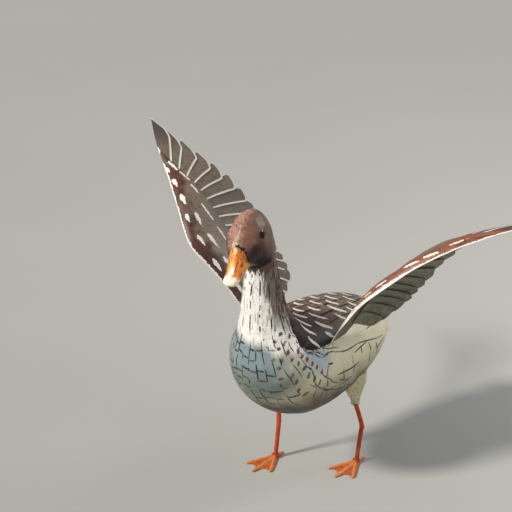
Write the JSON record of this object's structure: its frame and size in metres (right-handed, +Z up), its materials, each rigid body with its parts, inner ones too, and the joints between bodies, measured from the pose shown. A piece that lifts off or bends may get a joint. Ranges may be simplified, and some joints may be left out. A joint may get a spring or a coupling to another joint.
{
  "type": "garden goose ornament",
  "caption": "Life-size sheet-metal garden goose with raised wings, toothed flight feathers, turned-down bill and bent-rod legs on flat webbed feet.",
  "frame": {"origin": "on the floor, under the middle of the box round the whole goose", "axes": "+Z up; the goose faces -Y and its left side is +X, where its wings spread along X"},
  "size_m": [1.0698, 0.5836, 0.6338],
  "materials": {
    "body_paint": "hand-painted satin enamel on steel sheet, cream to pale blue-grey, with brown brush strokes",
    "back_paint": "hand-painted satin enamel, brown with broken white strokes",
    "head_paint": "hand-painted semi-gloss enamel, warm brown",
    "covert_paint": "hand-painted satin enamel, red-brown fading to grey-brown",
    "feather_paint": "hand-painted satin enamel, grey-brown with white edges",
    "bill_paint": "hand-painted gloss enamel, orange",
    "leg_paint": "red-orange enamel on bent steel rod",
    "eye_paint": "gloss black enamel on a steel half ball"
  },
  "bodies": {
    "root": {"trunk": "body_paint", "neck": "body_paint", "thigh_left": "body_paint", "thigh_right": "body_paint", "back": "back_paint", "head": "head_paint", "bill_upper": "bill_paint", "bill_lower": "bill_paint", "eye_left": "eye_paint", "eye_right": "eye_paint", "wing_left": "covert_paint", "wing_right": "covert_paint", "flight_feathers_left": "feather_paint", "flight_feathers_right": "feather_paint", "tail": "feather_paint", "leg_left": "leg_paint", "leg_right": "leg_paint", "foot_left": "bill_paint", "foot_right": "bill_paint"}
  },
  "joints": []
}
